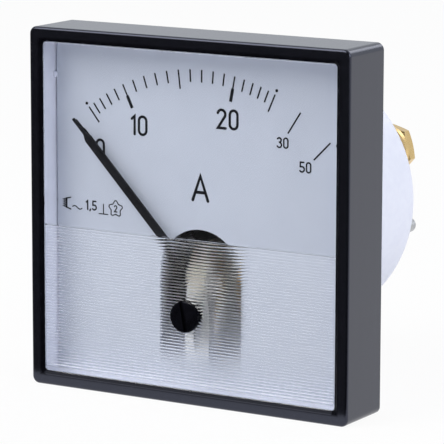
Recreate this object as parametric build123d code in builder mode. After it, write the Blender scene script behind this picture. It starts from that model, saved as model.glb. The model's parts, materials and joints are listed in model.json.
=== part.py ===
from build123d import *
import os
from math import cos, radians, sin, sqrt

# Analog panel meter: a square moving-iron ammeter with a round barrel behind the panel.
# Millimetres. X to the right, Z up, Y into the panel. The origin is on the barrel's axis,
# in the plane of the panel's front surface, where the bezel's rear edge rests.
# Names that end in _y are places along Y, and the front of the meter is at negative Y.

os.makedirs("parts", exist_ok=True)

# Bezel frame
bezel_size = 72.0
bezel_depth = 13.3
bezel_wall = 1.5
bezel_corner = 1.5
bezel_edge_round = 0.6
lip_width = 2.8
lip_thickness = 1.3
bevel_width = 0.65
bevel_depth = 0.43
snap_length = 12.0
snap_height = 0.3
snap_width = 0.8
snap_setback = 3.0
mould_gap = 0.1
inner_corner = 0.9

# Window with its ribbed lower part
window_setback = 0.45
flange_thickness = 0.7
window_edge_round = 0.2
rib_pitch = 0.585
rib_depth = 0.15
rib_top_z = -3.55
rib_side_margin = 0.35
rib_bottom_margin = 0.75

# Zero adjuster
adjuster_drop = 6.96
adjuster_radius = 3.1
adjuster_height = 0.95
adjuster_chamfer = 0.2
adjuster_shank_radius = 2.0
adjuster_collar_radius = 2.8
adjuster_collar_height = 0.6
adjuster_slot_width = 0.8
adjuster_slot_depth = 0.6
adjuster_slot_tilt = 12.0
eccentric_radius = 0.6
eccentric_offset = 0.6
running_gap = 0.05
end_gap = 0.05
pin_engagement = 0.2

# Case: square tray and round barrel in one moulding
tray_wall = 0.75
ledge_width = 0.85
tray_floor = 1.5
barrel_radius = 26.7
barrel_wall = 2.0
barrel_length = 31.3
pivot_share = 0.467206
barrel_rear_wall = 2.5
barrel_edge_round = 0.5
base_boss_radius_share = 0.10526
base_boss_circle_share = 0.90283
base_boss_angles = (90.0, 230.0, 310.0)
base_boss_pilot = 0.9
base_boss_pilot_depth = 8.0
dial_tab_inset = 7.65
dial_tab_height = 1.0
dial_tab_width = 0.5
dial_tab_depth = 0.8

# Dial
dial_depth = 6.4
dial_thickness = 0.8
dial_gap = 0.3
arch_radius = 9.3
arch_drop = 14.96
arch_corner = 0.8
print_thickness = 0.05

# Scale
scale_top_margin = 4.19
minor_mark_length = 2.45
middle_mark_length = 3.75
major_mark_length = 5.05
thin_mark = 0.3
thick_mark = 0.65
dot_gap = 0.85
dot_radius = 0.3
scale_law = ((0, -45.0), (5, -39.17), (7, -34.8), (10, -25.94), (12, -18.61), (15, -7.09),
             (18, 4.1), (20, 10.98), (22, 16.86), (25, 24.2), (30, 33.18), (50, 45.0))
pointer_rest_angle = -43.7

# Pointer
pointer_lift = 2.05
pointer_sheet = 0.5
pointer_width = 1.65
pointer_end_gap = 0.2
pointer_tip_width = 0.45
pointer_tip_length = 3.9
pointer_shoulder = 1.2
crank_radius = 5.6
pointer_ring_radius = 2.0

# Moving system
spindle_radius = 0.6
pivot_radius = 0.25
pivot_length = 0.9
spindle_clear = 0.3
collet_height = 0.5
spring_inner_radius = 1.3
spring_step = 0.275
spring_half_turns = 12
spring_strip = 0.12
spring_height = 0.4
root_gap = 0.2
root_sheet = 0.4
hub_flange_thickness = 0.4
hub_flange_radius = 2.0
hub_radius = 1.3
hub_spigot_radius = 0.9
hub_length = 2.1
balance_wire_radius = 0.35
balance_share = 0.32794
balance_weight_radius = 1.11
balance_weight_length = 2.0
balance_spread = 40.0
damper_ring_radius = 1.6
damper_sheet = 0.4
damper_arm_width = 1.2
damper_paddle_sheet = 0.3
damper_radial_gap = 0.8
damper_axial_gap = 0.6
moving_vane_gap = 1.5
moving_vane_sheet = 0.5
moving_vane_setback = 2.0
moving_vane_arc = 50.0
moving_vane_clamp = 1.4

# Zero lever
lever_sheet = 0.6
lever_ring_radius = 2.7
lever_neck_width = 3.8
lever_fork_width = 5.5
lever_shoulder_drop = 4.96
lever_end_drop = 14.26
fork_top_drop = 4.66
fork_gap = 0.1
lever_tail_width = 1.5
spring_post_radius = 0.45

# Front bridge and its bearing
bridge_dial_step = 0.4
bridge_sheet = 1.2
bridge_width = 4.6
bridge_head_radius = 3.0
bridge_leg_share = 0.46397
bridge_foot_width = 12.0
bridge_foot_height = 4.2
bridge_collar_radius = 2.4
bridge_collar_height = 0.95
bearing_radius = 1.5
bearing_head_radius = 2.2
bearing_head_height = 0.7
bearing_cup_depth = 1.2
bearing_reach = 0.3
bearing_slot_width = 0.5
bearing_slot_depth = 0.35

# Base with the damper's air chamber
base_setback = 7.1
base_thickness = 2.0
base_gap = 0.3
chamber_outer_share = 0.84615
chamber_inner_share = 0.36437
chamber_wall = 1.0
chamber_half_angle = 60.0
chamber_depth = 5.0
chamber_sill = 1.0
cover_ridge_margin_angle = 4.0
cover_thickness = 0.8
cover_ridge = 2.4
pillar_radius = 1.7
pillar_gap = 0.8
screw_pilot_radius = 0.75
screw_pilot_depth = 5.0

# Coil
bobbin_bore_share = 0.26316
bobbin_wall = 1.0
bobbin_flange = 1.2
bobbin_flange_share = 0.50202
coil_turns = 8
coil_groove = 0.25
coil_groove_depth = 0.8
coil_inset = 0.4
coil_strip_gap = 0.2
coil_tail_width = 4.4
coil_tail_rise = 2.94
fixed_vane_sheet = 0.5
fixed_vane_arc = 100.0
fixed_vane_tip_length = 4.0

# Rear bridge and its bearing
rear_bridge_sheet = 1.2
rear_bridge_share = 0.19433
rear_bearing_length = 4.5
rear_room = 7.4

# Terminals and fixing studs
terminal_inset = 4.485
terminal_angle = 27.0721
terminal_radius = 3.0
terminal_reach = 10.2
terminal_hole_gap = 0.05
terminal_flange_radius = 4.2
terminal_flange_height = 1.5
terminal_boss_radius = 4.6
terminal_boss_height = 2.3
terminal_chamfer = 0.5
washer_radius = 5.5
washer_thickness = 1.2
nut_width = 10.0
nut_thickness = 3.2
nut_chamfer = 0.35
nut_turn = 45.0
eye_radius = 4.3
fixing_inset = 2.268
fixing_angle = -16.5772
fixing_radius = 1.5
fixing_root_radius = 1.9
fixing_reach = 8.3
fixing_root = 5.0
fixing_boss_radius = 2.6
fixing_chamfer = 0.4

# Small screws
small_screw_radius = 0.8
small_screw_head_radius = 1.6
small_screw_head_height = 1.0
small_screw_length = 4.0
foot_screw_x = 4.2
base_screw_radius = 1.0
base_screw_head_inset = 0.65
base_screw_head_height = 1.3
base_screw_length = 8.0

# Places along Y, from the front to the rear
front_y = -bezel_depth
glass_y = front_y + window_setback
lip_rear_y = front_y + lip_thickness
window_rear_y = lip_rear_y + flange_thickness
dial_y = front_y + dial_depth
dial_rear_y = dial_y + dial_thickness
pointer_rear_y = dial_y - pointer_lift
bridge_front_y = dial_y + bridge_dial_step
bridge_rear_y = bridge_front_y + bridge_sheet
lever_rear_y = bridge_front_y - bridge_collar_height - end_gap
lever_front_y = lever_rear_y - lever_sheet
bearing_head_y = lever_front_y - end_gap
bearing_rear_y = bridge_rear_y + bearing_reach
spindle_front_y = bearing_rear_y + spindle_clear
collet_front_y = spindle_front_y + mould_gap
collet_rear_y = collet_front_y + collet_height
root_front_y = collet_rear_y + root_gap
root_rear_y = root_front_y + root_sheet
hub_rear_y = root_rear_y + hub_flange_thickness + hub_length
base_front_y = dial_rear_y + base_setback
chamber_front_y = base_front_y - chamber_depth
base_rear_y = base_front_y + base_thickness
coil_front_y = base_rear_y + bobbin_flange
barrel_inside_y = barrel_length - barrel_rear_wall
bobbin_rear_y = barrel_inside_y - rear_room
coil_rear_y = bobbin_rear_y - bobbin_flange
coil_pitch = (coil_rear_y - coil_front_y) / coil_turns
coil_strip = coil_pitch - coil_strip_gap
rear_bridge_y = bobbin_rear_y + rear_bridge_sheet
rear_bearing_front_y = bobbin_rear_y - bearing_reach
spindle_rear_y = rear_bearing_front_y - spindle_clear
eye_front_y = barrel_inside_y - coil_strip
boss_rear_y = barrel_length + terminal_boss_height
washer_rear_y = boss_rear_y + washer_thickness
nut_rear_y = washer_rear_y + nut_thickness

# Half widths of the square pieces
bezel_half = bezel_size / 2
pocket_half = bezel_half - bezel_wall
opening_half = bezel_half - lip_width
tray_half = pocket_half - mould_gap
tray_inner_half = tray_half - tray_wall
dial_half = tray_inner_half - dial_gap
dial_tab_z = tray_inner_half - dial_tab_inset

# What stands in the barrel takes its place and size from the barrel's bore
barrel_bore = barrel_radius - barrel_wall
pivot_z = -pivot_share * barrel_bore
base_boss_radius = base_boss_radius_share * barrel_bore
base_boss_circle = base_boss_circle_share * barrel_bore
base_screw_head_radius = base_boss_radius - base_screw_head_inset
bridge_leg_z = pivot_z - bridge_leg_share * barrel_bore
balance_reach = balance_share * barrel_bore
chamber_outer_radius = chamber_outer_share * barrel_bore
chamber_inner_radius = chamber_inner_share * barrel_bore
bobbin_bore = bobbin_bore_share * barrel_bore
bobbin_flange_radius = bobbin_flange_share * barrel_bore
moving_vane_radius = bobbin_bore - moving_vane_gap
pillar_offset = bobbin_flange_radius + pillar_radius + pillar_gap
coil_inner_radius = bobbin_bore + bobbin_wall
coil_radius = bobbin_flange_radius - coil_inset
coil_tail_top_z = pivot_z + coil_radius + coil_tail_rise
rear_bridge_width = rear_bridge_share * barrel_bore
terminal_x = (barrel_bore - terminal_inset) * cos(radians(terminal_angle))
terminal_z = (barrel_bore - terminal_inset) * sin(radians(terminal_angle))
fixing_x = (barrel_bore - fixing_inset) * cos(radians(fixing_angle))
fixing_z = (barrel_bore - fixing_inset) * sin(radians(fixing_angle))

# What stands in the dial's opening takes its place from the pivot, and the scale fills the dial
arch_bottom_z = pivot_z - arch_drop
adjuster_z = pivot_z - adjuster_drop
lever_shoulder_z = pivot_z - lever_shoulder_drop
lever_end_z = pivot_z - lever_end_drop
fork_top_z = pivot_z - fork_top_drop
scale_radius = dial_half - pivot_z - scale_top_margin
dot_circle = scale_radius + dot_gap
pointer_reach = scale_radius - pointer_end_gap


def across(y):
    """Plane across the meter at y, seen from the front: local x is X and local y is Z."""
    return Plane.XZ.offset(-y)


def polar(radius, angle):
    """Place on a circle round the spindle, angle in degrees clockwise from straight up."""
    return (radius * sin(radians(angle)), pivot_z + radius * cos(radians(angle)))


def step(radius, low_y, high_y, at=(0, 0), mode=Mode.ADD):
    """Round step along Y of the part being built."""
    with BuildSketch(across(high_y), mode=Mode.PRIVATE) as circle:
        with Locations(at):
            Circle(radius)
    extrude(circle.sketch, amount=high_y - low_y, mode=mode)


def along(angle, y):
    """Plane across the meter at y, with its origin on the spindle and its local y along an angle."""
    sideways = (cos(radians(angle)), 0, -sin(radians(angle)))
    return Plane(origin=(0, y, pivot_z), x_dir=sideways, z_dir=(0, -1, 0))


def outward(angle, radius, y):
    """Plane that faces out from the spindle at an angle, at a radius."""
    x, z = polar(radius, angle)
    sideways = (cos(radians(angle)), 0, -sin(radians(angle)))
    return Plane(origin=(x, y, z), x_dir=sideways, z_dir=(sin(radians(angle)), 0, cos(radians(angle))))


def radial_bar(inner, outer, width, angle, low_y, high_y, mode=Mode.ADD):
    """Straight bar along a radius of the spindle, angle clockwise from straight up."""
    with BuildSketch(along(angle, high_y), mode=Mode.PRIVATE) as bar:
        with Locations((0, (inner + outer) / 2)):
            Rectangle(width, outer - inner)
    extrude(bar.sketch, amount=high_y - low_y, mode=mode)


def curved_plate(inner, outer, start, stop, low_y, high_y, mode=Mode.ADD):
    """Plate bent round the spindle between two angles, clockwise from straight up."""
    middle = (start + stop) / 2
    with BuildSketch(across(high_y), mode=Mode.PRIVATE) as plate:
        with BuildLine():
            rim = ThreePointArc(polar(outer, start), polar(outer, middle), polar(outer, stop))
            bore = ThreePointArc(polar(inner, start), polar(inner, middle), polar(inner, stop))
            Line(rim @ 0, bore @ 0)
            Line(rim @ 1, bore @ 1)
        make_face()
    extrude(plate.sketch, amount=high_y - low_y, mode=mode)


def turned(outline, at=(0, pivot_z), mode=Mode.ADD):
    """Piece turned on an axis along Y from a closed outline of (radius, y) points."""
    with BuildSketch(Plane(origin=(at[0], 0, at[1])), mode=Mode.PRIVATE) as section:
        with BuildLine():
            Polyline(*outline, close=True)
        make_face()
    revolve(section.sketch, axis=Axis((at[0], 0, at[1]), (0, 1, 0)), mode=mode)


def law_secant(k):
    """Degrees for each unit of the scale between two points of its law."""
    return (scale_law[k + 1][1] - scale_law[k][1]) / (scale_law[k + 1][0] - scale_law[k][0])


def law_slope(k):
    """Slope at a point of the scale's law, so that the curve never turns back."""
    last = len(scale_law) - 1
    if k == 0:
        return law_secant(0)
    if k == last:
        return law_secant(last - 1)
    return 2 * law_secant(k - 1) * law_secant(k) / (law_secant(k - 1) + law_secant(k))


def scale_angle(value):
    """Angle of a scale value, on a smooth curve through the points of the scale's law."""
    k = 0
    while k < len(scale_law) - 2 and value > scale_law[k + 1][0]:
        k = k + 1
    span = scale_law[k + 1][0] - scale_law[k][0]
    t = (value - scale_law[k][0]) / span
    rise = (scale_law[k + 1][1] - scale_law[k][1]) * (3 - 2 * t) * t * t
    ease = span * t * (1 - t) * (law_slope(k) * (1 - t) - law_slope(k + 1) * t)
    return scale_law[k][1] + rise + ease


# Bezel frame: square tube with a front lip, bevelled round the window
with BuildPart() as bezel_frame:
    with BuildSketch(across(0)):
        RectangleRounded(bezel_size, bezel_size, bezel_corner)
    extrude(amount=bezel_depth)
    fillet(bezel_frame.faces().sort_by(Axis.Y)[0].edges(), radius=bezel_edge_round)
    with BuildSketch(across(0)):
        RectangleRounded(2 * pocket_half, 2 * pocket_half, inner_corner)
    extrude(amount=bezel_depth - lip_thickness, mode=Mode.SUBTRACT)
    with BuildSketch(across(0)):
        RectangleRounded(2 * opening_half, 2 * opening_half, inner_corner)
    extrude(amount=bezel_depth, mode=Mode.SUBTRACT)
    with BuildSketch(across(front_y + bevel_depth)):
        RectangleRounded(2 * opening_half, 2 * opening_half, inner_corner)
    with BuildSketch(across(front_y)):
        mouth = 2 * (opening_half + bevel_width)
        RectangleRounded(mouth, mouth, inner_corner + bevel_width)
    loft(mode=Mode.SUBTRACT)
    with BuildSketch(across(-snap_setback)):
        with PolarLocations(pocket_half, 4):
            Rectangle(2 * snap_height, snap_length)
    extrude(amount=snap_width)
bezel_frame.part.label = "bezel_frame"
export_step(bezel_frame.part, "parts/bezel_frame.step")

# Window: stepped plate whose lower front is moulded into fine horizontal ribs
rib_bottom_z = -(opening_half - rib_bottom_margin)
rib_count = int((rib_top_z - rib_bottom_z) / rib_pitch)
valley_y = glass_y + rib_depth
with BuildPart() as window:
    with BuildSketch(across(lip_rear_y)):
        plate = 2 * (opening_half - mould_gap)
        RectangleRounded(plate, plate, inner_corner - mould_gap)
    extrude(amount=lip_rear_y - glass_y)
    fillet(window.faces().sort_by(Axis.Y)[0].edges(), radius=window_edge_round)
    with BuildSketch(across(window_rear_y)):
        RectangleRounded(2 * tray_half, 2 * tray_half, inner_corner)
    extrude(amount=flange_thickness)
    with BuildSketch(Plane.YZ):
        with BuildLine():
            for row in range(rib_count):
                low = rib_top_z - (row + 1) * rib_pitch
                ThreePointArc((valley_y, low), (glass_y, low + rib_pitch / 2), (valley_y, low + rib_pitch))
            rib_end_z = rib_top_z - rib_count * rib_pitch
            Line((valley_y, rib_top_z), (front_y, rib_top_z))
            Line((front_y, rib_top_z), (front_y, rib_end_z))
            Line((front_y, rib_end_z), (valley_y, rib_end_z))
        make_face()
    extrude(amount=opening_half - mould_gap - rib_side_margin, both=True, mode=Mode.SUBTRACT)
    step(adjuster_shank_radius + running_gap, front_y, 0, (0, adjuster_z), Mode.SUBTRACT)
window.part.label = "window"
export_step(window.part, "parts/window.step")

# Zero adjuster: slotted button snapped through the window, with an eccentric pin behind
button_rear_y = glass_y - end_gap
button_front_y = button_rear_y - adjuster_height
collar_front_y = window_rear_y + end_gap
collar_rear_y = collar_front_y + adjuster_collar_height
pin_rear_y = lever_rear_y + pin_engagement
with BuildPart() as zero_adjuster:
    step(adjuster_radius, button_front_y, button_rear_y, (0, adjuster_z))
    chamfer(zero_adjuster.faces().sort_by(Axis.Y)[0].edges(), length=adjuster_chamfer)
    step(adjuster_shank_radius, button_rear_y, collar_front_y, (0, adjuster_z))
    step(adjuster_collar_radius, collar_front_y, collar_rear_y, (0, adjuster_z))
    step(eccentric_radius, collar_rear_y, pin_rear_y, (0, adjuster_z - eccentric_offset))
    with BuildSketch(across(button_front_y + adjuster_slot_depth)):
        with Locations((0, adjuster_z)):
            Rectangle(adjuster_slot_width, 2 * adjuster_radius, rotation=adjuster_slot_tilt)
    extrude(amount=adjuster_slot_depth, mode=Mode.SUBTRACT)
zero_adjuster.part.label = "zero_adjuster"
export_step(zero_adjuster.part, "parts/zero_adjuster.step")

# Case: square tray that holds the dial, round barrel behind it, bosses inside
ledge_half = tray_inner_half - ledge_width
with BuildPart() as barrel_case:
    with BuildSketch(across(0)):
        RectangleRounded(2 * tray_half, 2 * tray_half, inner_corner)
    extrude(amount=-window_rear_y)
    with BuildSketch(across(dial_rear_y)):
        RectangleRounded(2 * tray_inner_half, 2 * tray_inner_half, inner_corner)
    extrude(amount=dial_rear_y - window_rear_y, mode=Mode.SUBTRACT)
    with BuildSketch(across(-tray_floor)):
        RectangleRounded(2 * ledge_half, 2 * ledge_half, inner_corner)
    extrude(amount=-tray_floor - dial_rear_y, mode=Mode.SUBTRACT)
    step(barrel_radius, 0, barrel_length)
    fillet(barrel_case.faces().sort_by(Axis.Y)[-1].edges(), radius=barrel_edge_round)
    step(barrel_bore, -tray_floor, barrel_inside_y, mode=Mode.SUBTRACT)
    with BuildSketch(across(barrel_inside_y)):
        for angle in base_boss_angles:
            with PolarLocations(base_boss_circle, 1, start_angle=angle):
                Circle(base_boss_radius)
    extrude(amount=barrel_inside_y - base_rear_y)
    with BuildSketch(across(base_rear_y + base_boss_pilot_depth)):
        for angle in base_boss_angles:
            with PolarLocations(base_boss_circle, 1, start_angle=angle):
                Circle(base_boss_pilot)
    extrude(amount=base_boss_pilot_depth, mode=Mode.SUBTRACT)
    for side in (-1, 1):
        terminal = (side * terminal_x, terminal_z)
        fixing = (side * fixing_x, fixing_z)
        step(terminal_boss_radius, barrel_length, boss_rear_y, terminal)
        step(terminal_radius + terminal_hole_gap, barrel_inside_y, boss_rear_y, terminal, Mode.SUBTRACT)
        step(fixing_boss_radius, barrel_inside_y - fixing_root, barrel_inside_y, fixing)
        step(fixing_root_radius, barrel_inside_y - fixing_root, barrel_length, fixing, Mode.SUBTRACT)
    with BuildSketch(across(-snap_setback + mould_gap)):
        with PolarLocations(tray_half, 4):
            Rectangle(2 * snap_height, snap_length + 2 * mould_gap)
    extrude(amount=snap_width + 2 * mould_gap, mode=Mode.SUBTRACT)
    with BuildSketch(across(dial_y)):
        with GridLocations(2 * tray_inner_half, 2 * dial_tab_z, 2, 2):
            Rectangle(2 * dial_tab_width, dial_tab_height)
    extrude(amount=dial_tab_depth)
barrel_case.part.label = "barrel_case"
export_step(barrel_case.part, "parts/barrel_case.step")

# Dial: sheet with an arched opening round the spindle
with BuildPart() as dial_plate:
    with BuildSketch(across(dial_rear_y)):
        Rectangle(2 * dial_half, 2 * dial_half)
    extrude(amount=dial_thickness)
    with BuildSketch(across(dial_rear_y)) as arch:
        with Locations((0, pivot_z)):
            Circle(arch_radius)
        with Locations((0, (pivot_z + arch_bottom_z) / 2)):
            Rectangle(2 * arch_radius, pivot_z - arch_bottom_z)
        fillet(arch.vertices().sort_by(Axis.Z)[:2], radius=arch_corner)
    extrude(amount=dial_thickness, mode=Mode.SUBTRACT)
dial_plate.part.label = "dial_plate"
export_step(dial_plate.part, "parts/dial_plate.step")

# Scale: printed marks, thin enough to lie on the dial like ink
with BuildPart() as scale_marks:
    for value in (0, *range(5, 26), 30, 50):
        angle = scale_angle(value)
        if value % 10 == 0:
            length = major_mark_length
        elif value % 5 == 0:
            length = middle_mark_length
        else:
            length = minor_mark_length
        inner = scale_radius - length
        radial_bar(inner, scale_radius, thin_mark, angle, dial_y - print_thickness, dial_y)
        if value in (0, 10, 20):
            wide_end = scale_radius - minor_mark_length
            radial_bar(inner, wide_end, thick_mark, angle, dial_y - print_thickness, dial_y)
    for value in (5, 25):
        dot = polar(dot_circle, scale_angle(value))
        step(dot_radius, dial_y - print_thickness, dial_y, dot)
scale_marks.part.label = "scale_marks"
export_step(scale_marks.part, "parts/scale_marks.step")

# Pointer: one strip of sheet, root ring behind the bridge, cranked forward through the arch
blade_front_y = pointer_rear_y - pointer_sheet
tip_start = pointer_reach - pointer_tip_length
shoulder_start = tip_start - pointer_shoulder
with BuildPart() as pointer:
    step(pointer_ring_radius, root_front_y, root_rear_y, (0, pivot_z))
    radial_bar(0, crank_radius + root_sheet, pointer_width, pointer_rest_angle, root_front_y, root_rear_y)
    radial_bar(crank_radius, crank_radius + root_sheet, pointer_width, pointer_rest_angle,
               blade_front_y, root_rear_y)
    with BuildSketch(along(pointer_rest_angle, pointer_rear_y)):
        with BuildLine():
            half = pointer_width / 2
            tip = pointer_tip_width / 2
            Polyline((-half, crank_radius), (-half, shoulder_start), (-tip, tip_start), (-tip, pointer_reach),
                     (tip, pointer_reach), (tip, tip_start), (half, shoulder_start), (half, crank_radius),
                     close=True)
        make_face()
    extrude(amount=pointer_sheet)
    step(hub_spigot_radius, root_front_y, root_rear_y, (0, pivot_z), Mode.SUBTRACT)
pointer.part.label = "pointer"
export_step(pointer.part, "parts/pointer.step")

# Spindle: steel rod with a fine pivot at each end
with BuildPart() as spindle:
    turned([(0, spindle_front_y - pivot_length), (pivot_radius, spindle_front_y - pivot_length),
            (pivot_radius, spindle_front_y), (spindle_radius, spindle_front_y),
            (spindle_radius, spindle_rear_y), (pivot_radius, spindle_rear_y),
            (pivot_radius, spindle_rear_y + pivot_length), (0, spindle_rear_y + pivot_length)])
spindle.part.label = "spindle"
export_step(spindle.part, "parts/spindle.step")

# Hub: turned flange, body and spigot that carry the pointer on the spindle
flange_rear_y = root_rear_y + hub_flange_thickness
arm_y = (flange_rear_y + hub_rear_y) / 2
balance_angles = (pointer_rest_angle + 180 - balance_spread, pointer_rest_angle + 180 + balance_spread)
with BuildPart() as pointer_hub:
    turned([(spindle_radius, root_front_y), (hub_spigot_radius, root_front_y),
            (hub_spigot_radius, root_rear_y), (hub_flange_radius, root_rear_y),
            (hub_flange_radius, flange_rear_y), (hub_radius, flange_rear_y),
            (hub_radius, hub_rear_y), (spindle_radius, hub_rear_y)])
    for angle in balance_angles:
        with BuildSketch(outward(angle, 0, arm_y)):
            Circle(balance_wire_radius)
        extrude(amount=hub_radius, mode=Mode.SUBTRACT)
pointer_hub.part.label = "pointer_hub"
export_step(pointer_hub.part, "parts/pointer_hub.step")

# Balance arms and weights on the far side of the pointer
with BuildPart() as balance_arms:
    for angle in balance_angles:
        with BuildSketch(outward(angle, 0, arm_y)):
            Circle(balance_wire_radius)
        extrude(amount=balance_reach)
    step(spindle_radius, flange_rear_y, hub_rear_y, (0, pivot_z), Mode.SUBTRACT)
balance_arms.part.label = "balance_arms"
export_step(balance_arms.part, "parts/balance_arms.step")

with BuildPart() as balance_weights:
    for angle in balance_angles:
        with BuildSketch(outward(angle, balance_reach - balance_weight_length, arm_y)):
            Circle(balance_weight_radius)
            Circle(balance_wire_radius, mode=Mode.SUBTRACT)
        extrude(amount=balance_weight_length)
balance_weights.part.label = "balance_weights"
export_step(balance_weights.part, "parts/balance_weights.step")

# Damping vane: light paddle that sweeps the air chamber
paddle_inner = chamber_inner_radius + chamber_wall + damper_radial_gap
paddle_outer = chamber_outer_radius - damper_radial_gap
damper_front_y = hub_rear_y
with BuildPart() as damping_vane:
    step(damper_ring_radius, damper_front_y, damper_front_y + damper_sheet, (0, pivot_z))
    radial_bar(0, paddle_inner + damper_arm_width, damper_arm_width, pointer_rest_angle,
               damper_front_y, damper_front_y + damper_sheet)
    radial_bar(paddle_inner, paddle_outer, damper_paddle_sheet, pointer_rest_angle,
               chamber_front_y + damper_axial_gap, base_front_y - damper_axial_gap)
    step(spindle_radius, damper_front_y, damper_front_y + damper_sheet, (0, pivot_z), Mode.SUBTRACT)
damping_vane.part.label = "damping_vane"
export_step(damping_vane.part, "parts/damping_vane.step")

# Moving vane: soft iron sheet bent round the spindle inside the coil
vane_front_y = coil_front_y + moving_vane_setback
vane_rear_y = coil_rear_y - moving_vane_setback
vane_angle = pointer_rest_angle + 180
with BuildPart() as moving_vane:
    step(moving_vane_clamp, vane_front_y, vane_rear_y, (0, pivot_z))
    radial_bar(0, moving_vane_radius - moving_vane_sheet / 2, moving_vane_sheet, vane_angle,
               vane_front_y, vane_rear_y)
    curved_plate(moving_vane_radius - moving_vane_sheet, moving_vane_radius, vane_angle - moving_vane_arc / 2,
                 vane_angle + moving_vane_arc / 2, vane_front_y, vane_rear_y)
    step(spindle_radius, vane_front_y, vane_rear_y, (0, pivot_z), Mode.SUBTRACT)
moving_vane.part.label = "moving_vane"
export_step(moving_vane.part, "parts/moving_vane.step")

# Hairspring: flat spiral of half circles, from the collet out to the post on the lever
spring_front_y = collet_front_y + (collet_height - spring_height) / 2
spring_outer_radius = spring_inner_radius + spring_half_turns * spring_step
with BuildPart() as hairspring:
    with BuildSketch(across(spring_front_y + spring_height)):
        with BuildLine():
            for side in (-1, 1):
                thickness = side * spring_strip / 2
                for k in range(spring_half_turns):
                    centre = spring_step * (k % 2)
                    sign = 1 - 2 * (k % 2)
                    reach = spring_inner_radius + k * spring_step + thickness
                    start = (centre + sign * reach, pivot_z)
                    top = (centre, pivot_z + sign * reach)
                    end = (centre - sign * reach, pivot_z)
                    ThreePointArc(start, top, end)
            for place in (spring_inner_radius, spring_outer_radius):
                Line((place - spring_strip / 2, pivot_z), (place + spring_strip / 2, pivot_z))
        make_face()
    extrude(amount=spring_height)
hairspring.part.label = "hairspring"
export_step(hairspring.part, "parts/hairspring.step")

# Collet: ring on the spindle that holds the hairspring's inner turn
with BuildPart() as spring_collet:
    turned([(spindle_radius, collet_front_y), (spring_inner_radius - spring_strip / 2, collet_front_y),
            (spring_inner_radius - spring_strip / 2, collet_rear_y), (spindle_radius, collet_rear_y)])
spring_collet.part.label = "spring_collet"
export_step(spring_collet.part, "parts/spring_collet.step")

# Zero lever: fork on the eccentric pin, ring on the bearing, tail and post for the hairspring
post_x = spring_outer_radius + spring_strip / 2 + spring_post_radius
with BuildPart() as zero_lever:
    with BuildSketch(across(lever_rear_y)):
        with Locations((0, pivot_z)):
            Circle(lever_ring_radius)
        with BuildLine():
            neck = lever_neck_width / 2
            fork = lever_fork_width / 2
            Polyline((-neck, pivot_z), (neck, pivot_z), (fork, lever_shoulder_z), (fork, lever_end_z),
                     (-fork, lever_end_z), (-fork, lever_shoulder_z), close=True)
        make_face()
        with Locations((post_x / 2, pivot_z)):
            Rectangle(post_x, lever_tail_width)
        with Locations((post_x, pivot_z)):
            Circle(lever_tail_width / 2)
        with Locations((0, pivot_z)):
            Circle(bearing_radius + running_gap, mode=Mode.SUBTRACT)
        slot = 2 * (eccentric_radius + fork_gap)
        with Locations((0, (fork_top_z + lever_end_z) / 2)):
            Rectangle(slot, fork_top_z - lever_end_z, mode=Mode.SUBTRACT)
        with Locations((0, fork_top_z)):
            Circle(slot / 2, mode=Mode.SUBTRACT)
    extrude(amount=lever_sheet)
    step(spring_post_radius, lever_rear_y, spring_front_y + spring_height, (post_x, pivot_z))
zero_lever.part.label = "zero_lever"
export_step(zero_lever.part, "parts/zero_lever.step")

# Front bridge: strip that stands on the base, reaches forward through the arch and up to the pivot
leg_top_z = bridge_leg_z + bridge_sheet
foot_top_z = bridge_leg_z + bridge_foot_height
foot_screw_z = (leg_top_z + foot_top_z) / 2
with BuildPart() as front_bridge:
    with BuildSketch(across(bridge_rear_y)):
        with Locations((0, pivot_z)):
            Circle(bridge_head_radius)
        with Locations((0, (pivot_z + bridge_leg_z) / 2)):
            Rectangle(bridge_width, pivot_z - bridge_leg_z)
    extrude(amount=bridge_sheet)
    with BuildSketch(across(base_front_y)):
        with Locations((0, bridge_leg_z + bridge_sheet / 2)):
            Rectangle(bridge_width, bridge_sheet)
    extrude(amount=base_front_y - bridge_rear_y)
    with BuildSketch(across(base_front_y)):
        with Locations((0, (bridge_leg_z + foot_top_z) / 2)):
            RectangleRounded(bridge_foot_width, bridge_foot_height, inner_corner)
    extrude(amount=bridge_sheet)
    step(bridge_collar_radius, bridge_front_y - bridge_collar_height, bridge_front_y, (0, pivot_z))
    step(bearing_radius, lever_rear_y, bridge_rear_y, (0, pivot_z), Mode.SUBTRACT)
    for side in (-1, 1):
        hole = (side * foot_screw_x, foot_screw_z)
        step(small_screw_radius, base_front_y - bridge_sheet, base_front_y, hole, Mode.SUBTRACT)
front_bridge.part.label = "front_bridge"
export_step(front_bridge.part, "parts/front_bridge.step")

# Front bearing: slotted screw with a cup for the spindle's pivot
cup_radius = pivot_radius + running_gap
bearing_front_y = bearing_head_y - bearing_head_height
with BuildPart() as front_bearing:
    turned([(0, bearing_front_y), (bearing_head_radius, bearing_front_y),
            (bearing_head_radius, bearing_head_y), (bearing_radius, bearing_head_y),
            (bearing_radius, bearing_rear_y), (cup_radius, bearing_rear_y),
            (cup_radius, bearing_rear_y - bearing_cup_depth),
            (0, bearing_rear_y - bearing_cup_depth)])
    with BuildSketch(across(bearing_front_y + bearing_slot_depth)):
        with Locations((0, pivot_z)):
            Rectangle(2 * bearing_head_radius, bearing_slot_width)
    extrude(amount=bearing_slot_depth, mode=Mode.SUBTRACT)
front_bearing.part.label = "front_bearing"
export_step(front_bearing.part, "parts/front_bearing.step")

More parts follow.
